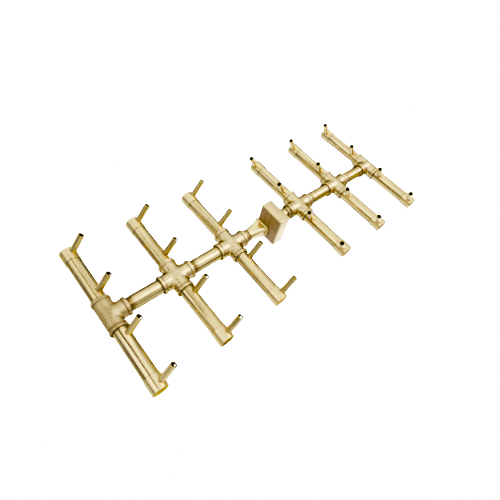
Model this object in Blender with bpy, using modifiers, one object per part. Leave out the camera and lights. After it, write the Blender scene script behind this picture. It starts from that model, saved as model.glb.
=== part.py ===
"""Gas burner of the double-tree kind, in brass: a spine with six rows of arms and a hub block.

+X runs along the spine, +Y along the arms to the back, +Z up. The hub block's underside is at
z = 0 and the middle of the spine is above the origin. Units are metres.
"""

import math

import bmesh
import bpy
from mathutils import Matrix, Vector

# Pipe: half-inch brass pipe, with thinner threaded ends that go into plain sockets.
PIPE_OUTER = 0.01065
PIPE_BORE = 0.0079
THREAD = 0.0095
THREAD_SHOULDER = 0.0011
SOCKET = 0.0098

# Layout of the rows along the spine and of the arms across it.
SPINE_HEIGHT = 0.0160
HUB_TO_ROW = 0.0749
ROW_PITCH = 0.0986
ARM_REACH = 0.1163
LEFT_ROWS = (1, 2, 3)
ROWS = (1, 2, 3, 4, 5, 6)

# Cast tees and crosses.
FITTING_REACH = 0.0250
FITTING_BODY = 0.0128
FITTING_BAND = 0.0138
BAND_WIDTH = 0.0037
BAND_SLOPE = 0.0010
EDGE = 0.0007
SOCKET_DEPTH = 0.0145
PIPE_ENTRY = 0.0130

# End caps.
CAP_OUTER = 0.0117
CAP_LENGTH = 0.0207
CAP_EDGE = 0.0015
CAP_FLOOR = 0.0035
CAP_SOCKET_DEPTH = 0.0062
CAP_CHAMBER = 0.0082
CAP_ENTRY = 0.0056

# Jets: open tubes that lean towards the hub.
JET_OUTER = 0.00475
JET_BORE = 0.0035
JET_HOLE = 0.0051
JET_TIP = 0.0402
JET_FOOT = 0.0070
JET_LEAN = math.radians(34.9)
JET_ALONG_ARM = {"inner": 0.0359, "outer": 0.1073}

# Hub block, with its two flared arms, an inlet port and a mixing bore.
BLOCK_HALF_THICK = 0.0101
BLOCK_FRONT = -0.0315
BLOCK_BACK = 0.0130
BLOCK_TOP = 0.0580
BLOCK_EDGE = 0.0020
FLANGE_HALF_WIDTH = 0.0144
FLANGE_HALF_HEIGHT = 0.0127
FLANGE_THICK = 0.0031
FLANGE_SQUARENESS = 7.0
FLARE_START = 0.0440
SPIGOT_OUTER = 0.0085
SPIGOT_LENGTH = 0.0050
HUB_SOCKET = 0.0088
HUB_BORE = 0.0060
INLET_BORE = 0.0070
INLET_Y = -0.0100
MIXING_TOP = 0.0450

JOINT_GAP = 0.0003
PIPE_SIDES = 16
JET_SIDES = 12
FLARE_SIDES = 32
FLARE_STEPS = 6
FLARE_CURVE = 2.0
OVERRUN = 0.0010


def clear_scene():
    for old in list(bpy.data.objects):
        bpy.data.objects.remove(old)


def brass(name, colour, roughness):
    material = bpy.data.materials.new(name)
    material.use_nodes = True
    shader = material.node_tree.nodes["Principled BSDF"]
    shader.inputs["Base Color"].default_value = (*colour, 1.0)
    shader.inputs["Metallic"].default_value = 1.0
    shader.inputs["Roughness"].default_value = roughness
    return material


def baked(mesh, modify):
    """The mesh with the modifiers that modify(helper) adds to it applied."""
    helper = bpy.data.objects.new("helper", mesh)
    bpy.context.scene.collection.objects.link(helper)
    modify(helper)
    graph = bpy.context.evaluated_depsgraph_get()
    result = bpy.data.meshes.new_from_object(helper.evaluated_get(graph))
    bpy.data.objects.remove(helper)
    return result


def turned(profile, sides, closed):
    """A solid of revolution about Z from (radius, height) points that run down its outer side."""
    points = [(radius, 0.0, height) for radius, height in profile]
    edges = [(i, i + 1) for i in range(len(points) - 1)]
    if closed:
        edges.append((len(points) - 1, 0))
    mesh = bpy.data.meshes.new("profile")
    mesh.from_pydata(points, edges, [])

    def modify(helper):
        screw = helper.modifiers.new("Turn", "SCREW")
        screw.steps = sides
        screw.render_steps = sides
        screw.use_merge_vertices = True
        screw.merge_threshold = 0.00001

    return baked(mesh, modify)


def nipple_mesh(low, low_mouth, high_mouth, high):
    """A pipe along Z. Its ends are threaded where they go into fittings with these mouths."""
    profile = [
        (THREAD, high),
        (THREAD, high_mouth - JOINT_GAP),
        (PIPE_OUTER, high_mouth - JOINT_GAP - THREAD_SHOULDER),
        (PIPE_OUTER, low_mouth + JOINT_GAP + THREAD_SHOULDER),
        (THREAD, low_mouth + JOINT_GAP),
        (THREAD, low),
        (PIPE_BORE, low),
        (PIPE_BORE, high),
    ]
    return turned(profile, PIPE_SIDES, True)


def rod(radius, low, high, sides):
    """A solid rod along Z between two heights."""
    bm = bmesh.new()
    bmesh.ops.create_cone(
        bm, cap_ends=True, segments=sides, radius1=radius, radius2=radius, depth=high - low
    )
    bmesh.ops.translate(bm, verts=bm.verts, vec=(0.0, 0.0, (low + high) / 2))
    mesh = bpy.data.meshes.new("rod")
    bm.to_mesh(mesh)
    bm.free()
    return mesh


def along(mesh, direction, spin=0.0):
    """The mesh spun about its Z axis and then turned so that Z points along direction, as a copy."""
    result = mesh.copy()
    result.transform(Matrix.Rotation(spin, 4, "Z"))
    result.transform(Vector(direction).to_track_quat("Z", "Y").to_matrix().to_4x4())
    return result


def combined(mesh, operation, others):
    """The mesh after a Boolean union with, or difference from, each of the other meshes."""
    tools = []
    for other in others:
        tool = bpy.data.objects.new("tool", other)
        bpy.context.scene.collection.objects.link(tool)
        tools.append(tool)

    def modify(helper):
        for tool in tools:
            boolean = helper.modifiers.new("Boolean", "BOOLEAN")
            boolean.operation = operation
            boolean.solver = "EXACT"
            boolean.object = tool

    result = baked(mesh, modify)
    for tool in tools:
        bpy.data.objects.remove(tool)
    return result


def fitting_branch():
    """One straight branch of a fitting, along +Z from its middle, with the band at its mouth."""
    profile = [
        (0.0, FITTING_REACH),
        (FITTING_BAND - EDGE, FITTING_REACH),
        (FITTING_BAND, FITTING_REACH - EDGE),
        (FITTING_BAND, FITTING_REACH - BAND_WIDTH),
        (FITTING_BODY, FITTING_REACH - BAND_WIDTH - BAND_SLOPE),
        (FITTING_BODY, 0.0),
        (0.0, 0.0),
    ]
    return turned(profile, PIPE_SIDES, False)


def fitting_run():
    """Two branches in one line, along Z."""
    upper = [
        (0.0, FITTING_REACH),
        (FITTING_BAND - EDGE, FITTING_REACH),
        (FITTING_BAND, FITTING_REACH - EDGE),
        (FITTING_BAND, FITTING_REACH - BAND_WIDTH),
        (FITTING_BODY, FITTING_REACH - BAND_WIDTH - BAND_SLOPE),
    ]
    lower = [(radius, -height) for radius, height in reversed(upper)]
    return turned(upper + lower, PIPE_SIDES, False)


def fitting_bore():
    """The hollow of one branch: a pipe socket, and the narrower way through to the middle."""
    shoulder = FITTING_REACH - SOCKET_DEPTH
    profile = [
        (0.0, FITTING_REACH + OVERRUN),
        (SOCKET, FITTING_REACH + OVERRUN),
        (SOCKET, shoulder),
        (PIPE_BORE, shoulder),
        (PIPE_BORE, 0.0),
        (0.0, 0.0),
    ]
    return turned(profile, PIPE_SIDES, False)


def fitting_run_bore():
    shoulder = FITTING_REACH - SOCKET_DEPTH
    upper = [
        (0.0, FITTING_REACH + OVERRUN),
        (SOCKET, FITTING_REACH + OVERRUN),
        (SOCKET, shoulder),
        (PIPE_BORE, shoulder),
    ]
    lower = [(radius, -height) for radius, height in reversed(upper)]
    return turned(upper + lower, PIPE_SIDES, False)


def crossing(run, branch):
    """Two solids on one axis each, along Y and +X. The half step keeps their flats from meeting."""
    return along(run, (0, 1, 0)), along(branch, (1, 0, 0), math.pi / PIPE_SIDES)


def cross_mesh():
    run, branch = crossing(fitting_run(), fitting_run())
    bores = crossing(fitting_run_bore(), fitting_run_bore())
    return combined(combined(run, "UNION", [branch]), "DIFFERENCE", bores)


def tee_mesh():
    """A tee whose run lies along Y and whose branch points to +X."""
    run, branch = crossing(fitting_run(), fitting_branch())
    bores = crossing(fitting_run_bore(), fitting_bore())
    return combined(combined(run, "UNION", [branch]), "DIFFERENCE", bores)


def jet_mesh():
    """A jet along +Z, with its height counted from the axis of the pipe that it stands on."""
    profile = [
        (JET_OUTER, JET_TIP), (JET_OUTER, JET_FOOT), (JET_BORE, JET_FOOT), (JET_BORE, JET_TIP)
    ]
    return turned(profile, JET_SIDES, True)


def jet_hole(height):
    """Cutter for the hole that a jet goes through, towards +X at this height on a pipe."""
    cutter = along(rod(JET_HOLE, 0.0, CAP_OUTER + OVERRUN, JET_SIDES), (1, 0, 0))
    cutter.transform(Matrix.Translation((0.0, 0.0, height)))
    return cutter


def arm_mesh():
    """An arm's pipe along +Z, from inside the fitting to inside the cap, with the inner jet's hole."""
    cap_mouth = ARM_REACH - CAP_LENGTH
    pipe = nipple_mesh(
        FITTING_REACH - PIPE_ENTRY, FITTING_REACH, cap_mouth, cap_mouth + CAP_ENTRY
    )
    return combined(pipe, "DIFFERENCE", [jet_hole(JET_ALONG_ARM["inner"])])


def cap_mesh():
    """An end cap along +Z, with its height counted from the spine and the outer jet's hole."""
    mouth = ARM_REACH - CAP_LENGTH
    profile = [
        (0.0, ARM_REACH),
        (CAP_OUTER - CAP_EDGE, ARM_REACH),
        (CAP_OUTER, ARM_REACH - CAP_EDGE),
        (CAP_OUTER, mouth),
        (SOCKET, mouth),
        (SOCKET, mouth + CAP_SOCKET_DEPTH),
        (CAP_CHAMBER, mouth + CAP_SOCKET_DEPTH),
        (CAP_CHAMBER, ARM_REACH - CAP_FLOOR),
        (0.0, ARM_REACH - CAP_FLOOR),
    ]
    cup = turned(profile, PIPE_SIDES, False)
    return combined(cup, "DIFFERENCE", [jet_hole(JET_ALONG_ARM["outer"])])


def flare_profile():
    """(radius, distance from the hub's middle) down the flare, from the stub to the flange."""
    flange = BLOCK_HALF_THICK + FLANGE_THICK
    points = []
    for step in range(FLARE_STEPS + 1):
        part = step / FLARE_STEPS
        radius = THREAD + (FLANGE_HALF_WIDTH - THREAD) * part**FLARE_CURVE
        points.append((radius, FLARE_START + (flange - FLARE_START) * part))
    return points


def square_off(mesh):
    """Turns the round flare into a rounded square, little at the stub and fully at the flange."""
    squash = FLANGE_HALF_HEIGHT / FLANGE_HALF_WIDTH
    for vertex in mesh.vertices:
        radius = math.hypot(vertex.co.x, vertex.co.y)
        part = (radius - THREAD) / (FLANGE_HALF_WIDTH - THREAD)
        if part <= 0.0 or vertex.co.z > FLARE_START - OVERRUN:
            continue
        cosine, sine = vertex.co.x / radius, vertex.co.y / radius
        power = 2.0 + (FLANGE_SQUARENESS - 2.0) * part
        reach = radius / (abs(cosine) ** power + abs(sine) ** power) ** (1.0 / power)
        vertex.co.x = reach * cosine
        vertex.co.y = reach * sine * (1.0 + (squash - 1.0) * part)


def hub_arm(end_of_flange, spigot):
    """A hub arm along +Z: threaded stub, flare and flange, and a spigot if it has one."""
    mouth = HUB_TO_ROW - FITTING_REACH
    profile = [
        (0.0, mouth + PIPE_ENTRY),
        (THREAD, mouth + PIPE_ENTRY),
        (THREAD, mouth - JOINT_GAP),
        (PIPE_OUTER, mouth - JOINT_GAP - THREAD_SHOULDER),
        (PIPE_OUTER, FLARE_START),
    ]
    profile += flare_profile() + [(FLANGE_HALF_WIDTH, end_of_flange)] + spigot
    arm = turned(profile + [(0.0, profile[-1][1])], FLARE_SIDES, False)
    square_off(arm)
    return arm


def left_adapter_mesh():
    face = BLOCK_HALF_THICK + JOINT_GAP
    spigot = [(SPIGOT_OUTER, face), (SPIGOT_OUTER, BLOCK_HALF_THICK - SPIGOT_LENGTH)]
    arm = along(hub_arm(face, spigot), (-1, 0, 0))
    bore = along(rod(HUB_BORE, 0.0, HUB_TO_ROW, PIPE_SIDES), (-1, 0, 0))
    return combined(arm, "DIFFERENCE", [bore])


def hub_block_mesh():
    """The block, about the point where the spine's axis meets the hub's middle."""
    bm = bmesh.new()
    bmesh.ops.create_cube(bm, size=1.0)
    size = (2 * BLOCK_HALF_THICK, BLOCK_BACK - BLOCK_FRONT, BLOCK_TOP)
    bmesh.ops.scale(bm, verts=bm.verts, vec=size)
    middle = (0.0, (BLOCK_BACK + BLOCK_FRONT) / 2, BLOCK_TOP / 2 - SPINE_HEIGHT)
    bmesh.ops.translate(bm, verts=bm.verts, vec=middle)
    block = bpy.data.meshes.new("block")
    bm.to_mesh(block)
    bm.free()

    def modify(helper):
        bevel = helper.modifiers.new("Edges", "BEVEL")
        bevel.width = BLOCK_EDGE
        bevel.segments = 2

    block = baked(block, modify)
    right_arm = along(hub_arm(BLOCK_HALF_THICK - OVERRUN, []), (1, 0, 0))
    block = combined(block, "UNION", [right_arm])
    socket_end = BLOCK_HALF_THICK - SPIGOT_LENGTH - JOINT_GAP
    profile = [
        (0.0, HUB_TO_ROW),
        (HUB_SOCKET, HUB_TO_ROW),
        (HUB_SOCKET, socket_end),
        (HUB_BORE, socket_end),
        (HUB_BORE, -HUB_TO_ROW),
        (0.0, -HUB_TO_ROW),
    ]
    spine_bore = along(turned(profile, PIPE_SIDES, False), (-1, 0, 0))
    inlet = rod(INLET_BORE, -SPINE_HEIGHT - OVERRUN, MIXING_TOP - SPINE_HEIGHT, PIPE_SIDES)
    inlet.transform(Matrix.Translation((0.0, INLET_Y, 0.0)))
    return combined(block, "DIFFERENCE", [spine_bore, inlet])


def row_x(row):
    """Where a row crosses the spine."""
    steps = 3 - row if row in LEFT_ROWS else row - 4
    side = -1 if row in LEFT_ROWS else 1
    return side * (HUB_TO_ROW + steps * ROW_PITCH)


def lean_direction(row):
    """The way that a row's jets point: up, and towards the hub."""
    side = 1 if row in LEFT_ROWS else -1
    return Vector((side * math.sin(JET_LEAN), 0.0, math.cos(JET_LEAN)))


def arm_turn(row, outward):
    """The turn that lays a pipe's Z axis along the arm and its X axis along the jets."""
    lean = lean_direction(row)
    sideways = outward.cross(lean)
    return Matrix((lean, sideways, outward)).transposed().to_4x4()


def place(name, mesh, material, collection, where):
    part = bpy.data.objects.new(name, mesh)
    part.matrix_world = where
    collection.objects.link(part)
    part.material_slots[0].link = "OBJECT"
    part.material_slots[0].material = material


def finished(mesh):
    """Ready to share: one material slot, round sides shaded smooth and edges left sharp."""
    mesh.materials.clear()
    mesh.materials.append(None)
    mesh.shade_smooth()
    mesh.set_sharp_from_angle(angle=math.radians(35.0))
    return mesh


def build():
    clear_scene()
    collection = bpy.data.collections.new("burner_assembly")
    bpy.context.scene.collection.children.link(collection)

    pipe_brass = brass("pipe_brass", (0.78, 0.60, 0.28), 0.22)
    cast_brass = brass("cast_brass", (0.66, 0.50, 0.22), 0.38)
    cap_brass = brass("cap_brass", (0.76, 0.58, 0.27), 0.25)
    jet_brass = brass("jet_brass", (0.72, 0.55, 0.25), 0.25)
    block_brass = brass("block_brass", (0.72, 0.58, 0.32), 0.30)

    cross, tee = finished(cross_mesh()), finished(tee_mesh())
    arm, cap, jet = finished(arm_mesh()), finished(cap_mesh()), finished(jet_mesh())

    half = ROW_PITCH / 2 - FITTING_REACH
    nipple = finished(nipple_mesh(-half - PIPE_ENTRY, -half, half, half + PIPE_ENTRY))
    nipple_turn = Matrix.Rotation(math.radians(90.0), 4, "Y")

    for row in ROWS:
        centre = Matrix.Translation((row_x(row), 0.0, SPINE_HEIGHT))
        if row == ROWS[0]:
            place(f"tee_row{row}", tee, cast_brass, collection, centre)
        elif row == ROWS[-1]:
            half_turn = Matrix.Rotation(math.pi, 4, "Z")
            place(f"tee_row{row}", tee, cast_brass, collection, centre @ half_turn)
        else:
            place(f"cross_row{row}", cross, cast_brass, collection, centre)

        jet_turn = lean_direction(row).to_track_quat("Z", "Y").to_matrix().to_4x4()
        for side, outward in (("front", Vector((0, -1, 0))), ("back", Vector((0, 1, 0)))):
            where = centre @ arm_turn(row, outward)
            place(f"arm_row{row}_{side}", arm, pipe_brass, collection, where)
            place(f"end_cap_row{row}_{side}", cap, cap_brass, collection, where)
            for jet_name, distance in JET_ALONG_ARM.items():
                foot = centre @ Matrix.Translation(outward * distance) @ jet_turn
                place(f"jet_row{row}_{side}_{jet_name}", jet, jet_brass, collection, foot)

        if row not in (LEFT_ROWS[-1], ROWS[-1]):
            middle = (row_x(row) + row_x(row + 1)) / 2
            where = Matrix.Translation((middle, 0.0, SPINE_HEIGHT)) @ nipple_turn
            place(f"spine_nipple_{row}_{row + 1}", nipple, pipe_brass, collection, where)

    hub = Matrix.Translation((0.0, 0.0, SPINE_HEIGHT))
    place("hub_adapter_left", finished(left_adapter_mesh()), cast_brass, collection, hub)
    place("hub_block", finished(hub_block_mesh()), block_brass, collection, hub)


build()
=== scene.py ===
"""Looks for the brass double-tree gas burner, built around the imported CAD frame."""

import math

import bmesh
import bpy
import numpy as np
from mathutils import Matrix, Vector, noise


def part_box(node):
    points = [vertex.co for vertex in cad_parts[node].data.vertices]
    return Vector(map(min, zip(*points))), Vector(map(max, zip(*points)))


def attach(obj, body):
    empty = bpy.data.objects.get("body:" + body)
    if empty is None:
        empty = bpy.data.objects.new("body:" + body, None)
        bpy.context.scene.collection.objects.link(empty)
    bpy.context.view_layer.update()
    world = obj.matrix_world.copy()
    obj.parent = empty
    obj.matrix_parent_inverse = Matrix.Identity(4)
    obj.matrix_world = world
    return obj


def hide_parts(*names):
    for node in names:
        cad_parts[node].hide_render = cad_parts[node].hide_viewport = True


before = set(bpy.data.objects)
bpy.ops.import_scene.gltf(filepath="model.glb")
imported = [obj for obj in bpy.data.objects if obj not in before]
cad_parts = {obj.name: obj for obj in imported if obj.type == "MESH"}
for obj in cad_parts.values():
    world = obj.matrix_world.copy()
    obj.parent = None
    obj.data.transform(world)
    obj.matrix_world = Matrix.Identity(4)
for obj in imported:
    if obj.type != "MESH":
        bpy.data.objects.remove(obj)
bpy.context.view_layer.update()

BODY = "root"
LEFT_ROWS = (1, 2, 3)
ROWS = (1, 2, 3, 4, 5, 6)
SIDES = (("front", -1), ("back", 1))
MM = 0.001

# How round pieces are divided.
PIPE_SIDES = 72
JET_SIDES = 40
FLARE_SIDES = 96

# Pipe threads: 14 to the inch, fading out along the pipe.
THREAD_PITCH = 1.814 * MM
THREAD_DEPTH = 0.90 * MM
THREAD_STEP = THREAD_PITCH / 8
PIPE_BORE = 7.9 * MM
PIPE_EDGE = 0.6 * MM
PIPE_RINGS = 9

# Cast fittings.
BAND_WIDTH = 3.7 * MM
BAND_SLOPE = 1.0 * MM
BODY_RADIUS = 12.8 * MM
SOCKET = 11.0 * MM
SOCKET_DEPTH = 13.5 * MM
MOUTH = 11.9 * MM
GROIN_BLEND = 2.6 * MM
GROIN_ROWS = 14
CAST_GRAIN = 0.06 * MM

# Jets.
JET_LEAN = math.radians(34.9)
JET_OUTER = 4.75 * MM
JET_BORE = 3.6 * MM
JET_TIP = 40.2 * MM
JET_FOOT = 7.0 * MM
JET_ALONG_ARM = {"inner": 35.9 * MM, "outer": 107.3 * MM}
AIR_HOLE = 1.0 * MM
AIR_HOLE_DOWN = 3.9 * MM

# Hub.
BLOCK_HALF_THICK = 10.1 * MM
BLOCK_BACK = 13.0 * MM
FLANGE_FACE = BLOCK_HALF_THICK + 0.3 * MM
FLANGE_THICK = 3.1 * MM
FLANGE_SQUARENESS = 7.0
FLARE_START = 44.0 * MM
FLARE_STEPS = 26
FLARE_CURVE = 2.0
FLARE_STEP_IN = 1.1 * MM
NECK_RADIUS = 9.5 * MM
BLOCK_EDGE = 2.2 * MM
INLET_BORE = 7.0 * MM
INLET_Y = -10.0 * MM
INLET_DEPTH = 35.0 * MM


def middle(node):
    low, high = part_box(node)
    return (low + high) / 2


def half_size(node):
    low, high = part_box(node)
    return (high - low) / 2


# Sizes read from the frame.
SPINE_HEIGHT = middle("spine_nipple_1_2").z
PIPE_OUTER = half_size("spine_nipple_1_2").z
FITTING_REACH = half_size("cross_row2").x
BAND_RADIUS = half_size("cross_row2").z
ARM_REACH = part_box("end_cap_row2_back")[1].y
CAP_LENGTH = 2 * half_size("end_cap_row2_back").y
CAP_RADIUS = half_size("end_cap_row2_back").z
ROW_X = {row: middle(f"end_cap_row{row}_front").x for row in ROWS}
BLOCK_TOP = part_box("hub_block")[1].z
BLOCK_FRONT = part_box("hub_block")[0].y
FLANGE_HALF_WIDTH = half_size("hub_adapter_left").y
FLANGE_HALF_HEIGHT = half_size("hub_adapter_left").z


# ---------------------------------------------------------------- meshes

def softened(corners):
    """A profile's points, with each (radius, height, edge) corner rounded over its edge length."""
    points = []
    count = len(corners)
    for index, (radius, height, edge) in enumerate(corners):
        here = np.array((radius, height))
        if not edge:
            points.append(here)
            continue
        before = np.array(corners[index - 1][:2]) - here
        after = np.array(corners[(index + 1) % count][:2]) - here
        before *= edge / np.linalg.norm(before)
        after *= edge / np.linalg.norm(after)
        points.append(here + 1.3 * before)
        for part in (0.0, 0.25, 0.5, 0.75, 1.0):
            points.append(here + (1 - part) ** 2 * before + part**2 * after)
        points.append(here + 1.3 * after)
    return np.array(points)


def angles(sides):
    return np.arange(sides) * 2 * math.pi / sides


def turned_rings(profile, sides):
    """Rings of points about Z, one for each (radius, height) of the profile."""
    turn = angles(sides)
    radius, height = profile[:, :1], profile[:, 1:]
    flat = np.ones((1, sides))
    return np.stack([radius * np.cos(turn), radius * np.sin(turn), height * flat], axis=2)


def ring_faces(rows, sides, closed):
    faces = []
    for row in range(rows if closed else rows - 1):
        here, there = row * sides, (row + 1) % rows * sides
        for step in range(sides):
            after = (step + 1) % sides
            faces.append((here + step, here + after, there + after, there + step))
    return faces


def as_mesh(name, points, faces, recess_shade, angle=35.0):
    """A clean mesh, doubles merged and normals outwards, with its painted recess shade value at
    each point.
    """
    mesh = bpy.data.meshes.new(name)
    mesh.from_pydata(points.reshape(-1, 3).tolist(), [], faces)
    layer = mesh.attributes.new("recess_shade", "FLOAT", "POINT")
    layer.data.foreach_set("value", np.asarray(recess_shade, np.float32).reshape(-1))
    bm = bmesh.new()
    bm.from_mesh(mesh)
    bmesh.ops.remove_doubles(bm, verts=bm.verts, dist=0.002 * MM)
    bmesh.ops.dissolve_degenerate(bm, edges=bm.edges, dist=0.0005 * MM)
    bmesh.ops.recalc_face_normals(bm, faces=bm.faces)
    bm.to_mesh(mesh)
    bm.free()
    mesh.shade_smooth()
    mesh.set_sharp_from_angle(angle=math.radians(angle))
    return mesh


def turned_mesh(name, profile, sides, recess_shade):
    """A closed solid of revolution about Z; the function of (radius, height) gives its painted
    shade at a point.
    """
    rings = turned_rings(profile, sides)
    values = np.repeat([[recess_shade(*point)] for point in profile], sides, axis=1)
    return as_mesh(name, rings, ring_faces(len(profile), sides, True), values)


def thread_cut(height, turn, begin, end):
    """How deep a V thread is at a height: full at begin, and nothing from end on."""
    fade = np.clip((end - height) / (end - begin), 0.0, 1.0)
    wave = np.abs((height / THREAD_PITCH + turn / (2 * math.pi)) % 1.0 - 0.5) * 2
    return THREAD_DEPTH * np.clip(1.25 * wave - 0.2, 0.0, 1.0) * np.minimum(1.0, fade * 1.6)


def pipe_mesh(name, low, high, low_mouth, high_mouth, low_thread, high_thread):
    """A nipple along Z. It goes into fittings whose mouths are at the two mouth heights, and its
    threads show for the given lengths outside them."""
    turn = angles(PIPE_SIDES)
    cut_low, cut_high = low_mouth + low_thread, high_mouth - high_thread
    start, stop = low_mouth - 1.5 * MM, high_mouth + 1.5 * MM
    heights = [low, start - THREAD_PITCH]
    heights += list(np.arange(start, cut_low + THREAD_STEP, THREAD_STEP))
    heights += list(np.linspace(cut_low + 2 * THREAD_STEP, cut_high - 2 * THREAD_STEP, PIPE_RINGS))
    heights += list(np.arange(cut_high - THREAD_STEP, stop, THREAD_STEP))
    heights += [stop + THREAD_PITCH, high]
    heights = np.array(heights)[:, None]
    depth = thread_cut(heights, turn, low_mouth, cut_low)
    depth = depth + thread_cut(-heights, -turn, -high_mouth, -cut_high)
    depth[0] = depth[1] = depth[-1] = depth[-2] = PIPE_EDGE
    radius = PIPE_OUTER - depth
    flat = np.ones_like(radius)
    skin = np.stack([radius * np.cos(turn), radius * np.sin(turn), heights * flat], axis=2)
    inner = turned_rings(np.array([(PIPE_BORE, high), (PIPE_BORE, low)]), PIPE_SIDES)
    near = np.minimum(np.abs(heights - low_mouth), np.abs(heights - high_mouth))
    # Painted shade: darker in the thread grooves and beside the fittings' mouths, and full in the
    # bore.
    recess_shade = 1.1 * depth / THREAD_DEPTH + np.clip(1.0 - near / (0.9 * MM), 0.0, 1.0)
    recess_shade = np.concatenate([np.clip(recess_shade, 0.0, 1.0), np.ones((2, PIPE_SIDES))])
    points = np.concatenate([skin, inner])
    return as_mesh(name, points, ring_faces(len(points), PIPE_SIDES, True), recess_shade, 60.0)


def cap_mesh(name):
    """An end cap along Z, from its mouth at height 0 to its end, with a centre mark on the end."""
    end = CAP_LENGTH
    profile = softened([
        (1.5 * MM, end - 0.1 * MM, 0.3 * MM),
        (CAP_RADIUS - 1.6 * MM, end, 0.5 * MM),
        (CAP_RADIUS, end - 0.3 * MM, 1.1 * MM),
        (CAP_RADIUS, 0.0, 0.35 * MM),
        (PIPE_OUTER + 0.3 * MM, 0.0, 0.15 * MM),
        (PIPE_OUTER + 0.3 * MM, end - 5.0 * MM, 0.3 * MM),
        (1.5 * MM, end - 5.0 * MM, 0.3 * MM),
    ])
    outer = [(0.0, end - 0.85 * MM)] + [tuple(point) for point in profile]
    points = outer + [(0.0, end - 5.0 * MM)]

    # Painted shade in the centre mark on the end and inside the mouth.
    def recess_shade(radius, height):
        if radius < 1.6 * MM and height > end - 2 * MM:
            return 0.9 * (1.0 - radius / (1.6 * MM)) ** 0.5
        if height < 1.0 * MM and radius < CAP_RADIUS - 0.4 * MM:
            return 0.8
        return 0.0

    return turned_mesh(name, np.array(points), PIPE_SIDES, recess_shade)


def jet_mesh(name):
    """An open jet tube along Z, its height counted from the axis of the pipe that it stands on."""
    rim = 0.28 * MM
    profile = softened([
        (JET_OUTER, JET_TIP, rim),
        (JET_OUTER, JET_FOOT, rim),
        (JET_BORE, JET_FOOT, rim),
        (JET_BORE, JET_TIP, rim),
    ])
    heights = np.linspace(JET_FOOT + 2 * MM, JET_TIP - 2 * MM, 12)
    inside = [(JET_BORE, height) for height in heights]
    corner = len(profile) // 4
    profile = np.array([*profile[:3 * corner], *inside, *profile[3 * corner:]])

    # Painted shade inside the bore, darker further down from the tip.
    def recess_shade(radius, height):
        if radius < JET_BORE + 0.05 * MM:
            return min(0.85, 0.45 + (JET_TIP - height) / (12 * MM))
        return 0.0

    return turned_mesh(name, profile, JET_SIDES, recess_shade)


def pierced(mesh, cutters):
    """The mesh with these meshes cut out of it."""
    body = bpy.data.objects.new("body", mesh)
    bpy.context.scene.collection.objects.link(body)
    tools = []
    for cutter in cutters:
        tool = bpy.data.objects.new("tool", cutter)
        bpy.context.scene.collection.objects.link(tool)
        cut = body.modifiers.new("Cut", "BOOLEAN")
        cut.operation = "DIFFERENCE"
        cut.solver = "EXACT"
        cut.object = tool
        tools.append(tool)
    graph = bpy.context.evaluated_depsgraph_get()
    result = bpy.data.meshes.new_from_object(body.evaluated_get(graph))
    for helper in tools + [body]:
        bpy.data.objects.remove(helper)
    result.set_sharp_from_angle(angle=math.radians(35.0))
    return result


def rod_mesh(radius, low, high, sides):
    bm = bmesh.new()
    bmesh.ops.create_cone(
        bm, cap_ends=True, segments=sides, radius1=radius, radius2=radius, depth=high - low
    )
    bmesh.ops.translate(bm, verts=bm.verts, vec=(0.0, 0.0, (low + high) / 2))
    mesh = bpy.data.meshes.new("rod")
    bm.to_mesh(mesh)
    bm.free()
    return mesh


def smooth_union(points, axes, blend):
    """Signed distance to the branches' cylinders, their groins filled over the blend length."""
    distances = []
    for start, direction in axes:
        reach = np.maximum((points - start) @ direction, 0.0)
        foot = start + reach[..., None] * direction
        distances.append(np.linalg.norm(points - foot, axis=-1) - BODY_RADIUS)
    first, second = distances
    mix = np.maximum(blend - np.abs(first - second), 0.0) / blend
    return np.minimum(first, second) - mix**2 * blend / 4


def onto_surface(points, axes, blend):
    """The points moved onto the smooth union's surface."""
    step = 0.01 * MM
    for _ in range(4):
        value = smooth_union(points, axes, blend)
        slope = np.stack([
            (smooth_union(points + step * axis, axes, blend) - value) / step for axis in np.eye(3)
        ], axis=-1)
        points = points - value[..., None] * slope / np.sum(slope**2, axis=-1, keepdims=True)
    return points


def grain(points, seed, size, amount):
    """Uneven cast surface: a small shift for each point."""
    shifts = [
        noise.noise(Vector(point) / size + Vector((seed, 2.0 * seed, 0.5)))
        + 0.5 * noise.noise(Vector(point) * 2.7 / size + Vector((0.3, seed, seed)))
        for point in points.reshape(-1, 3)
    ]
    return amount * np.array(shifts).reshape(points.shape[:-1])


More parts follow.
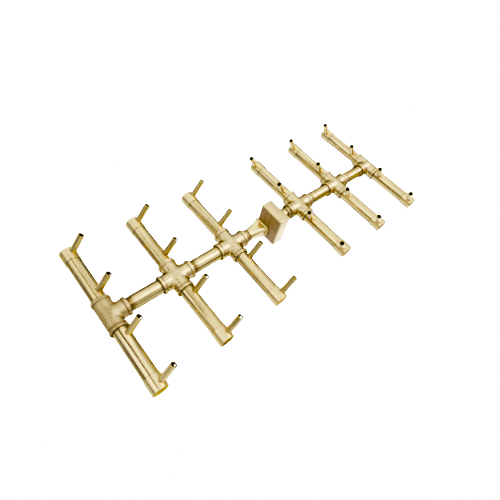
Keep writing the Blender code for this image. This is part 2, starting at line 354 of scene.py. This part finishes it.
def fitting_mesh(name, branches, seed, roughness):
    """A cast tee or cross about the origin, with a banded mouth on each branch, in the XY plane."""
    up = np.array((0.0, 0.0, 1.0))
    branches = [np.array((*branch, 0.0)) for branch in branches]
    run = (np.array((0.0, -1.0, 0.0)), np.array((0.0, 1.0, 0.0)))
    across = np.array((1.0, 0.0, 0.0))
    is_cross = len(branches) == 4
    across_start = -across if is_cross else across * 3.5 * MM
    axes = [run, (across_start, across)]
    turn = angles(PIPE_SIDES)[:, None]
    neck = FITTING_REACH - BAND_WIDTH - BAND_SLOPE
    mouth = softened([
        (BODY_RADIUS, neck, 0.35 * MM),
        (BAND_RADIUS, FITTING_REACH - BAND_WIDTH, 0.5 * MM),
        (BAND_RADIUS, FITTING_REACH, 0.7 * MM),
        (MOUTH, FITTING_REACH, 0.25 * MM),
        (SOCKET, FITTING_REACH - 1.1 * MM, 0.0),
        (SOCKET, FITTING_REACH - SOCKET_DEPTH, 0.0),
        (PIPE_BORE, FITTING_REACH - SOCKET_DEPTH, 0.0),
    ])
    rings, values, faces = [], [], []
    for direction in branches:
        side = np.cross(up, direction)
        offset = np.cos(turn) * side + np.sin(turn) * up
        start = np.max([offset @ other for other in branches], axis=0)
        start = np.where(start > 1e-9, start, 0.0)[:, None]
        branch_rings, branch_values = [], []
        for row in range(GROIN_ROWS):
            part = (row / GROIN_ROWS) ** 1.7
            begin = BODY_RADIUS * start
            points = BODY_RADIUS * offset + (begin + (neck - begin - 0.8 * MM) * part) * direction
            points = onto_surface(points, axes, GROIN_BLEND)
            outward = points - (points @ direction)[:, None] * direction
            outward = outward / np.linalg.norm(outward, axis=1, keepdims=True)
            fade = min(1.0, (GROIN_ROWS - row) / 3)
            shift = grain(points, seed, 3.2 * MM, roughness) * fade * min(1.0, row)
            branch_rings.append(points + shift[:, None] * outward)
            branch_values.append(np.zeros(PIPE_SIDES))
        for radius, distance in mouth:
            points = radius * offset + distance * direction
            if radius > SOCKET:
                shift = grain(points, seed + 5.0, 2.4 * MM, 0.4 * roughness)
                points = points + np.minimum(shift, 0.0)[:, None] * offset
            branch_rings.append(points)
            # Painted shade inside the mouth and socket, half as much in the crease at the neck, and
            # full on the bore ring.
            inside = radius < MOUTH - 0.1 * MM and distance > neck
            at_neck = abs(distance - neck) < 0.5 * MM
            branch_values.append(np.full(PIPE_SIDES, 1.0 if inside else 0.5 * at_neck))
        branch_rings.append(PIPE_BORE * offset + PIPE_BORE * start * direction)
        branch_values.append(np.ones(PIPE_SIDES))
        base = sum(len(ring) for ring in rings)
        rows = len(branch_rings)
        for quad in ring_faces(rows, PIPE_SIDES, False):
            faces.append(tuple(base + index for index in quad))
        rings.extend(branch_rings)
        values.extend(branch_values)
    return as_mesh(name, np.concatenate(rings), faces, np.concatenate(values))


def flare_rings(distances):
    """Rings of the flared hub arm about Z: a round end that turns into a rounded square."""
    turn = angles(FLARE_SIDES)
    cosine, sine = np.cos(turn), np.sin(turn)
    squash = FLANGE_HALF_HEIGHT / FLANGE_HALF_WIDTH
    rings = []
    for radius, part, distance in distances:
        power = 2.0 + (FLANGE_SQUARENESS - 2.0) * part
        reach = radius / (np.abs(cosine) ** power + np.abs(sine) ** power) ** (1.0 / power)
        height = reach * sine * (1.0 + (squash - 1.0) * part)
        rings.append(np.stack([reach * cosine, height, np.full(FLARE_SIDES, distance)], axis=1))
    return np.array(rings)


def hub_arm_mesh(name, face):
    """A hub arm along Z, counted from the hub's middle: flange at face, then the flare."""
    back = face + FLANGE_THICK
    stations = [(PIPE_BORE, 0.0, face)]
    for inset, lift in ((1.2, 0.0), (0.5, 0.1), (0.15, 0.35), (0.0, 0.8)):
        stations.append((FLANGE_HALF_WIDTH - inset * MM, 1.0, face + lift * MM))
    for inset, lift in ((0.0, 0.8), (0.12, 0.4), (0.45, 0.1), (0.95, -0.1), (1.35, -0.6)):
        stations.append((FLANGE_HALF_WIDTH - inset * MM, 1.0, back - lift * MM))
    width = FLANGE_HALF_WIDTH - 1.5 * MM - NECK_RADIUS
    for step in range(FLARE_STEPS + 1):
        part = 1.0 - step / FLARE_STEPS
        radius = NECK_RADIUS + width * part**FLARE_CURVE
        squareness = min(1.0, 1.02 * part**FLARE_CURVE)
        distance = back + FLARE_STEP_IN + (FLARE_START - back - FLARE_STEP_IN) * (1 - part)
        stations.append((radius, squareness, distance))
    stations.append((PIPE_BORE, 0.0, FLARE_START))
    rings = flare_rings(stations)
    values = [[0.0] * FLARE_SIDES for _ in stations]
    # Painted shade in the cove just behind the flange.
    for index, (radius, _, distance) in enumerate(stations):
        if abs(distance - back) < 1.3 * MM and radius < FLANGE_HALF_WIDTH - 0.9 * MM:
            values[index] = [0.45] * FLARE_SIDES
    return as_mesh(name, rings, ring_faces(len(stations), FLARE_SIDES, True), values, 40.0)


def block_mesh(name):
    """The hub block about the hub's middle at floor height, with an inlet port underneath."""
    bm = bmesh.new()
    bmesh.ops.create_cube(bm, size=1.0)
    size = (2 * BLOCK_HALF_THICK, BLOCK_BACK - BLOCK_FRONT, BLOCK_TOP)
    bmesh.ops.scale(bm, verts=bm.verts, vec=size)
    centre = (0.0, (BLOCK_BACK + BLOCK_FRONT) / 2, BLOCK_TOP / 2)
    bmesh.ops.translate(bm, verts=bm.verts, vec=centre)
    bmesh.ops.bevel(
        bm, geom=bm.edges[:], offset=BLOCK_EDGE, segments=5, profile=0.5, affect="EDGES"
    )
    mesh = bpy.data.meshes.new(name)
    bm.to_mesh(mesh)
    bm.free()
    port = rod_mesh(INLET_BORE, -5 * MM, INLET_DEPTH, PIPE_SIDES)
    port.transform(Matrix.Translation((0.0, INLET_Y, 0.0)))
    mesh = pierced(mesh, [port])
    mesh.shade_smooth()
    mesh.set_sharp_from_angle(angle=math.radians(30.0))
    return mesh


# ---------------------------------------------------------------- materials

class Nodes:
    """Small helper that adds shader nodes and links them."""

    def __init__(self, tree):
        self.tree = tree

    def add(self, kind, **settings):
        node = self.tree.nodes.new(kind)
        for key, value in settings.items():
            setattr(node, key, value)
        return node

    def link(self, source, target):
        self.tree.links.new(source, target)

    def noise(self, vector, scale, detail=3.0, roughness=0.55, distortion=0.0):
        node = self.add("ShaderNodeTexNoise")
        node.inputs["Scale"].default_value = scale
        node.inputs["Detail"].default_value = detail
        node.inputs["Roughness"].default_value = roughness
        node.inputs["Distortion"].default_value = distortion
        self.link(vector, node.inputs["Vector"])
        return node.outputs["Fac"]

    def stretched(self, vector, scale):
        node = self.add("ShaderNodeMapping")
        node.inputs["Scale"].default_value = scale
        self.link(vector, node.inputs["Vector"])
        return node.outputs["Vector"]

    def ramp(self, value, *stops):
        node = self.add("ShaderNodeValToRGB")
        elements = node.color_ramp.elements
        elements[0].position, elements[0].color = stops[0][0], (*stops[0][1], 1.0)
        elements[1].position, elements[1].color = stops[-1][0], (*stops[-1][1], 1.0)
        for position, colour in stops[1:-1]:
            elements.new(position).color = (*colour, 1.0)
        self.link(value, node.inputs["Fac"])
        return node.outputs["Color"]

    def remap(self, value, low, high, from_low=0.3, from_high=0.7):
        node = self.add("ShaderNodeMapRange")
        node.inputs["From Min"].default_value = from_low
        node.inputs["From Max"].default_value = from_high
        node.inputs["To Min"].default_value = low
        node.inputs["To Max"].default_value = high
        self.link(value, node.inputs["Value"])
        return node.outputs["Result"]

    def math(self, operation, first, second):
        node = self.add("ShaderNodeMath", operation=operation)
        for socket, value in zip(node.inputs, (first, second)):
            if isinstance(value, float):
                socket.default_value = value
            else:
                self.link(value, socket)
        return node.outputs["Value"]

    def mix(self, factor, first, second, blend="MIX"):
        node = self.add("ShaderNodeMix", data_type="RGBA", blend_type=blend)
        sockets = (node.inputs[0], node.inputs[6], node.inputs[7])
        for socket, value in zip(sockets, (factor, first, second)):
            if isinstance(value, float):
                socket.default_value = value
            elif isinstance(value, tuple):
                socket.default_value = (*value, 1.0)
            else:
                self.link(value, socket)
        return node.outputs[2]


PALE = (0.90, 0.745, 0.18)
GOLD = (0.82, 0.655, 0.18)
OLIVE = (0.60, 0.48, 0.17)
TAN = (0.36, 0.27, 0.10)
STREAK = (0.26, 0.18, 0.07)
# Tarnish for the cast pits, and also painted shade at grazing edges and in recesses.
TARNISH_AND_SHADE = (0.28, 0.20, 0.09)
# Painted brown shade for the faces towards X and -X.
SIDE_SHADE_BROWN = (0.34, 0.25, 0.13)
# Near-black painted shade for the deepest recesses.
SHADE_DARK = (0.060, 0.042, 0.024)
EDGE_TINT = (0.20, 0.16, 0.10)


def brass(name, tones, gloss, streaks, pits, bump, rim=0.0, turning=0.0, side_shade=0.0):
    """Brass: its (dark, light) tones, (least, most) roughness, lengthwise streaks and cast pits,
    how much painted shade darkens it at a grazing angle, the scale of its turning marks and how
    much painted brown shade lies on the faces towards X and -X."""
    material = bpy.data.materials.new(name)
    material.use_nodes = True
    nodes = Nodes(material.node_tree)
    shader = material.node_tree.nodes["Principled BSDF"]
    shader.inputs["Metallic"].default_value = 1.0
    if rim:
        shader.inputs["Specular Tint"].default_value = (*EDGE_TINT, 1.0)

    place = nodes.add("ShaderNodeTexCoord").outputs["Object"]
    where = nodes.add("ShaderNodeObjectInfo").outputs["Location"]
    shifted = nodes.add("ShaderNodeVectorMath", operation="ADD")
    nodes.link(place, shifted.inputs[0])
    nodes.link(where, shifted.inputs[1])
    place = shifted.outputs["Vector"]

    clouds = nodes.noise(place, 55.0, 3.0)
    mottle = nodes.noise(place, 420.0, 4.0, 0.6)
    lines = nodes.noise(nodes.stretched(place, (1.0, 1.0, 0.03)), 260.0, 3.0, 0.6)
    grit = nodes.noise(place, 1100.0, 4.0, 0.65)

    dark, light = tones
    colour = nodes.ramp(clouds, (0.32, dark), (0.62, light))
    worn = nodes.remap(mottle, 0.0, 1.0, 0.42, 0.72)
    colour = nodes.mix(nodes.math("MULTIPLY", worn, 0.35), colour, PALE)
    if streaks:
        band = nodes.remap(lines, 0.0, streaks, 0.44, 0.60)
        colour = nodes.mix(band, colour, STREAK)
    if pits:
        holes = nodes.remap(grit, pits, 0.0, 0.30, 0.52)
        colour = nodes.mix(holes, colour, TARNISH_AND_SHADE)

    facing = nodes.add("ShaderNodeSeparateXYZ")
    nodes.link(nodes.add("ShaderNodeTexCoord").outputs["Normal"], facing.inputs["Vector"])
    # Painted shade: brown and duller on the faces that point along X or -X, mottled by the clouds.
    if side_shade:
        side = nodes.math("ABSOLUTE", facing.outputs["X"], 0.0)
        side = nodes.remap(side, 0.0, side_shade, 0.80, 0.99)
        side = nodes.math("MULTIPLY", side, nodes.remap(clouds, 0.8, 1.0))
        colour = nodes.mix(side, colour, SIDE_SHADE_BROWN)
        dull = nodes.math("MULTIPLY", side, 0.45)

    # Painted shade: darker where the surface is seen at a grazing angle, less on faces that point
    # up or down.
    if rim:
        grazing = nodes.add("ShaderNodeLayerWeight")
        grazing.inputs["Blend"].default_value = 0.5
        edge = nodes.remap(grazing.outputs["Facing"], 0.0, rim, 0.42, 0.80)
        edge = nodes.math("MULTIPLY", edge, nodes.remap(mottle, 0.6, 1.0))
        level = nodes.remap(nodes.math("ABSOLUTE", facing.outputs["Z"], 0.0), 1.0, 0.0, 0.7, 0.95)
        edge = nodes.math("MULTIPLY", edge, level)
        colour = nodes.mix(edge, colour, TARNISH_AND_SHADE)

    # Painted shade in recesses: the mesh's recess value, mottled, darkens the colour and roughens
    # it.
    attribute = nodes.add("ShaderNodeAttribute", attribute_name="recess_shade")
    painted_shade = nodes.math("MULTIPLY", attribute.outputs["Fac"], nodes.remap(mottle, 0.75, 1.0))
    half_shaded = nodes.mix(nodes.remap(painted_shade, 0.0, 1.0, 0.0, 0.55), colour, TARNISH_AND_SHADE)
    colour = nodes.mix(nodes.remap(painted_shade, 0.0, 1.0, 0.5, 1.0), half_shaded, SHADE_DARK)
    nodes.link(colour, shader.inputs["Base Color"])

    least, most = gloss
    roughness = nodes.remap(mottle, least, most)
    if streaks:
        roughness = nodes.math("ADD", roughness, nodes.remap(lines, 0.0, 0.10))
    if side_shade:
        roughness = nodes.math("ADD", roughness, dull)
    roughness = nodes.math("ADD", roughness, nodes.math("MULTIPLY", painted_shade, 0.6))
    nodes.link(roughness, shader.inputs["Roughness"])

    height = nodes.math("MULTIPLY", grit, 0.4 + 1.6 * pits)
    if streaks:
        height = nodes.math("ADD", height, nodes.math("MULTIPLY", lines, 4.0))
    if turning:
        rings = nodes.noise(nodes.stretched(place, (0.02, 0.02, 1.0)), turning, 2.0)
        height = nodes.math("ADD", height, nodes.math("MULTIPLY", rings, 1.2))
    height = nodes.math("ADD", height, nodes.math("MULTIPLY", mottle, 0.8))
    relief = nodes.add("ShaderNodeBump")
    relief.inputs["Strength"].default_value = bump
    relief.inputs["Distance"].default_value = 0.12 * MM
    nodes.link(height, relief.inputs["Height"])
    nodes.link(relief.outputs["Normal"], shader.inputs["Normal"])
    return material


DRAWN = brass("drawn_brass", (GOLD, PALE), (0.04, 0.09), 0.75, 0.0, 0.3, 0.85)
CAP = brass("turned_cap_brass", (GOLD, PALE), (0.10, 0.18), 0.0, 0.15, 0.08, 0.85, 1500.0)
JET = brass("jet_brass", (GOLD, PALE), (0.10, 0.18), 0.4, 0.0, 0.3)
CAST = brass("cast_brass", (OLIVE, GOLD), (0.14, 0.24), 0.0, 0.45, 0.45, 0.85)
SAND_CAST = brass("sand_cast_brass", (TAN, OLIVE), (0.30, 0.42), 0.0, 0.95, 1.0, 0.85)
HUB = brass("hub_brass", (GOLD, PALE), (0.12, 0.20), 0.0, 0.2, 0.12)
BLOCK = brass("block_brass", (OLIVE, GOLD), (0.16, 0.24), 0.25, 0.1, 0.12, 0.0, 0.0, 0.9)


# ---------------------------------------------------------------- pieces

def show(name, mesh, material, place, slot, *nodes):
    """One visible piece, at place, that rides on the burner and stands for these CAD nodes."""
    piece = bpy.data.objects.new(name, mesh)
    bpy.context.scene.collection.objects.link(piece)
    piece.matrix_world = place
    mesh.materials.clear()
    mesh.materials.append(material)
    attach(piece, BODY)
    for node in nodes:
        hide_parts(node)
    return piece


def centre_of(row):
    return Matrix.Translation((ROW_X[row], 0.0, SPINE_HEIGHT))


def lean_of(row):
    side = 1 if row in LEFT_ROWS else -1
    return Vector((side * math.sin(JET_LEAN), 0.0, math.cos(JET_LEAN)))


def build_arms():
    mouth = ARM_REACH - CAP_LENGTH
    pipe = pipe_mesh(
        "arm_pipe", FITTING_REACH - 13 * MM, mouth + 5.6 * MM, FITTING_REACH, mouth,
        2.2 * MM, 0.7 * MM
    )
    cap, jet = cap_mesh("end_cap"), jet_mesh("jet")
    hole = rod_mesh(AIR_HOLE, 0.0, JET_OUTER + 2 * MM, 20)
    hole.transform(Matrix.Rotation(math.radians(90.0), 4, "X"))
    hole.transform(Matrix.Translation((0.0, 0.0, JET_TIP - AIR_HOLE_DOWN)))
    jet = pierced(jet, [hole])
    for row in ROWS:
        jet_turn = lean_of(row).to_track_quat("Z", "Y").to_matrix().to_4x4()
        for side, sign in SIDES:
            outward = Vector((0.0, sign, 0.0))
            place = centre_of(row) @ outward.to_track_quat("Z", "Y").to_matrix().to_4x4()
            name = f"arm_row{row}_{side}"
            show(f"{name}_pipe", pipe, DRAWN, place, "pipe", name)
            name = f"end_cap_row{row}_{side}"
            at_mouth = place @ Matrix.Translation((0.0, 0.0, mouth))
            show(f"{name}_shell", cap, CAP, at_mouth, "end_caps", name)
            for which, distance in JET_ALONG_ARM.items():
                name = f"jet_row{row}_{side}_{which}"
                foot = centre_of(row) @ Matrix.Translation(outward * distance) @ jet_turn
                show(f"{name}_tube", jet, JET, foot, "jets", name)


def build_fittings():
    for row in ROWS:
        if row in (ROWS[0], ROWS[-1]):
            name, branches = f"tee_row{row}", [(1, 0), (0, 1), (0, -1)]
        else:
            name, branches = f"cross_row{row}", [(1, 0), (0, 1), (-1, 0), (0, -1)]
        rough = row == ROWS[0]
        amount = CAST_GRAIN * (2.2 if rough else 1.0)
        mesh = fitting_mesh(f"{name}_casting", branches, 3.7 * row, amount)
        place = centre_of(row)
        if row == ROWS[-1]:
            place = place @ Matrix.Rotation(math.pi, 4, "Z")
        show(f"{name}_casting", mesh, SAND_CAST if rough else CAST, place, "cast_fittings", name)


def build_spine():
    half = (ROW_X[2] - ROW_X[1]) / 2
    reach = half - FITTING_REACH
    turn = Matrix.Rotation(math.radians(90.0), 4, "Y")
    pipe = pipe_mesh(
        "spine_pipe", -reach - 13 * MM, reach + 13 * MM, -reach, reach,
        10.0 * MM, 3.0 * MM
    )
    for row in (1, 2, 4, 5):
        centre = Matrix.Translation(((ROW_X[row] + ROW_X[row + 1]) / 2, 0.0, SPINE_HEIGHT))
        name = f"spine_nipple_{row}_{row + 1}"
        show(f"{name}_pipe", pipe, DRAWN, centre @ turn, "pipe", name)


def build_hub():
    centre = Matrix.Translation((0.0, 0.0, SPINE_HEIGHT))
    hub_to_row = ROW_X[4]
    end = hub_to_row - FITTING_REACH
    stub = pipe_mesh(
        "hub_stub", FLARE_START - 0.2 * MM, end + 13 * MM, FLARE_START, end, 0.4 * MM, 5.5 * MM
    )
    for side, axis in (("left", (-1, 0, 0)), ("right", (1, 0, 0))):
        turn = Vector(axis).to_track_quat("Z", "Y").to_matrix().to_4x4()
        node = "hub_adapter_left" if side == "left" else "hub_block"
        slot = "hub_adapter" if side == "left" else "hub_block"
        arm = hub_arm_mesh(f"hub_arm_{side}", FLANGE_FACE)
        show(f"hub_arm_{side}_flare", arm, HUB, centre @ turn, slot, node)
        show(f"hub_arm_{side}_stub", stub, DRAWN, centre @ turn, slot)
    name = "hub_block_body"
    show(name, block_mesh(name), BLOCK, Matrix.Identity(4), "hub_block", "hub_block")


# ---------------------------------------------------------------- stage

FLOOR_RADIUS = 6.0
FLOOR_CORNER = 1.5
WALL_HEIGHT = 12.0
FLOOR_SIDES = 96


def stage_piece(name, mesh, material):
    """Part of the stage: pale to the camera, but neither mirrored in the brass nor in its light."""
    piece = bpy.data.objects.new(name, mesh)
    bpy.context.scene.collection.objects.link(piece)
    mesh.materials.append(material)
    piece.visible_glossy = False
    piece.visible_shadow = False


def build_floor():
    """A round floor that curves up into a wall far behind the burner."""
    outline = [(0.0, 0.0), (0.5 * FLOOR_RADIUS, 0.0), (FLOOR_RADIUS, 0.0)]
    outline += [
        (FLOOR_RADIUS + FLOOR_CORNER * math.sin(bend), FLOOR_CORNER * (1 - math.cos(bend)))
        for bend in np.linspace(0.1, math.pi / 2, 12)
    ]
    outline.append((FLOOR_RADIUS + FLOOR_CORNER, WALL_HEIGHT))
    rings = turned_rings(np.array(outline), FLOOR_SIDES)
    mesh = bpy.data.meshes.new("floor")
    faces = ring_faces(len(outline), FLOOR_SIDES, False)
    mesh.from_pydata(rings.reshape(-1, 3).tolist(), [], faces)
    mesh.shade_smooth()
    material = bpy.data.materials.new("pale_floor")
    material.use_nodes = True
    shader = material.node_tree.nodes["Principled BSDF"]
    shader.inputs["Base Color"].default_value = (0.9, 0.9, 0.9, 1.0)
    shader.inputs["Roughness"].default_value = 0.8
    shader.inputs["Specular IOR Level"].default_value = 0.1
    shader.inputs["Emission Color"].default_value = (1.0, 1.0, 1.0, 1.0)
    shader.inputs["Emission Strength"].default_value = FLOOR_GLOW
    stage_piece("floor", mesh, material)


def tinted(level):
    """A brightness as a colour: the dim parts of the studio are bluish and its lights are warm."""
    share = min(1.0, level / WARM_FROM)
    return tuple(
        level / WORLD_LEVEL * (cool + (warm - cool) * share) for cool, warm in zip(COOL, WARM)
    )


def build_world():
    """The studio's own soft light: by height, and then the lights and dark places one by one."""
    world = bpy.data.worlds.new("studio")
    bpy.context.scene.world = world
    world.use_nodes = True
    nodes = Nodes(world.node_tree)
    background = world.node_tree.nodes["Background"]
    direction = nodes.add("ShaderNodeTexCoord").outputs["Generated"]
    parts = nodes.add("ShaderNodeSeparateXYZ")
    nodes.link(direction, parts.inputs["Vector"])
    height = nodes.remap(parts.outputs["Z"], 0.0, 1.0, -1.0, 1.0)
    stops = [((1 + z) / 2, tinted(level)) for z, level in WORLD_BY_HEIGHT]
    colour = nodes.ramp(height, *stops)
    for azimuth, elevation, inner, outer, level in STUDIO_PLACES:
        nearness = nodes.add("ShaderNodeVectorMath", operation="DOT_PRODUCT")
        nodes.link(direction, nearness.inputs[0])
        nearness.inputs[1].default_value = toward(azimuth, elevation)
        edge, core = math.cos(math.radians(outer)), math.cos(math.radians(inner))
        inside = nodes.remap(nearness.outputs["Value"], 0.0, 1.0, edge, core)
        colour = nodes.mix(inside, colour, tinted(level))
    nodes.link(colour, background.inputs["Color"])
    background.inputs["Strength"].default_value = WORLD_LEVEL


def toward(azimuth, elevation):
    """Unit vector; azimuth counts from +X towards +Y."""
    around, above = math.radians(azimuth), math.radians(elevation)
    level = math.cos(above)
    return Vector((level * math.cos(around), level * math.sin(around), math.sin(above)))


FLOOR_GLOW = 14.0
WORLD_LEVEL = 10.0
COOL = (0.96, 0.98, 1.80)
WARM = (1.02, 1.0, 0.85)
WARM_FROM = 2.5
WORLD_BY_HEIGHT = (
    (-1.0, 1.0), (-0.75, 1.5), (-0.48, 1.7), (-0.26, 1.0), (-0.08, 0.50), (0.14, 0.50),
    (0.30, 0.80), (0.46, 1.4), (0.65, 1.9), (1.0, 2.2),
)
# Azimuth, elevation, inner and outer half angle, and brightness.
STUDIO_PLACES = (
    (-31, -53, 11, 15, 5.0),
    (-65, -77, 9, 12, 3.2),
    (45, 60, 15, 18, 3.0),
    (-25, 60, 17, 19, 8.0),
    (-15, 42, 12, 15, 8.0),
    (160, 44, 10, 13, 4.0),
    (135, 43, 8, 13, 2.4),
    (20, 66, 6, 8, 0.9),
    (22, 41, 5, 7, 1.3),
)
# Black studio flags over the burner's left end: their places, and sizes along X and Y.
FLAGS = (
    ((-0.316, 0.125, 0.236), (0.11, 0.25)),
    ((-0.2945, -0.045, 0.100), (0.030, 0.11)),
)


def build_flags():
    """The flags, which only their mirror images show."""
    material = bpy.data.materials.new("black_flag")
    material.use_nodes = True
    shader = material.node_tree.nodes["Principled BSDF"]
    shader.inputs["Base Color"].default_value = (0.02, 0.02, 0.02, 1.0)
    shader.inputs["Roughness"].default_value = 0.9
    for place, size in FLAGS:
        bm = bmesh.new()
        bmesh.ops.create_grid(bm, x_segments=1, y_segments=1, size=0.5)
        bmesh.ops.scale(bm, verts=bm.verts, vec=(*size, 1.0))
        bmesh.ops.translate(bm, verts=bm.verts, vec=place)
        mesh = bpy.data.meshes.new("flag")
        bm.to_mesh(mesh)
        bm.free()
        flag = bpy.data.objects.new("flag", mesh)
        bpy.context.scene.collection.objects.link(flag)
        mesh.materials.append(material)
        flag.visible_camera = False


# Camera: where it looks, how far away it stands, and its angles, roll and lens.
CAMERA_TARGET = Vector((-0.0558, -0.0235, 0.0160))
CAMERA_DISTANCE = 0.5486
CAMERA_AZIMUTH = math.radians(305.1)
CAMERA_ELEVATION = math.radians(53.9)
CAMERA_ROLL = math.radians(17.44)
CAMERA_LENS = 25.82


def build_camera():
    data = bpy.data.cameras.new("camera")
    data.lens = CAMERA_LENS
    data.sensor_width = 36.0
    data.clip_start = 0.01
    camera = bpy.data.objects.new("camera", data)
    bpy.context.scene.collection.objects.link(camera)
    level = math.cos(CAMERA_ELEVATION)
    away = Vector((
        level * math.sin(CAMERA_AZIMUTH),
        -level * math.cos(CAMERA_AZIMUTH),
        math.sin(CAMERA_ELEVATION),
    ))
    camera.location = CAMERA_TARGET + CAMERA_DISTANCE * away
    aim = away.to_track_quat("Z", "Y").to_matrix().to_4x4()
    turned = Matrix.Translation(camera.location) @ aim @ Matrix.Rotation(CAMERA_ROLL, 4, "Z")
    camera.matrix_world = turned
    bpy.context.scene.camera = camera


build_camera()
build_world()
build_floor()
build_flags()
build_fittings()
build_arms()
build_spine()
build_hub()

bpy.context.scene.view_settings.look = "AgX - High Contrast"
bpy.context.scene.view_settings.exposure = -0.65
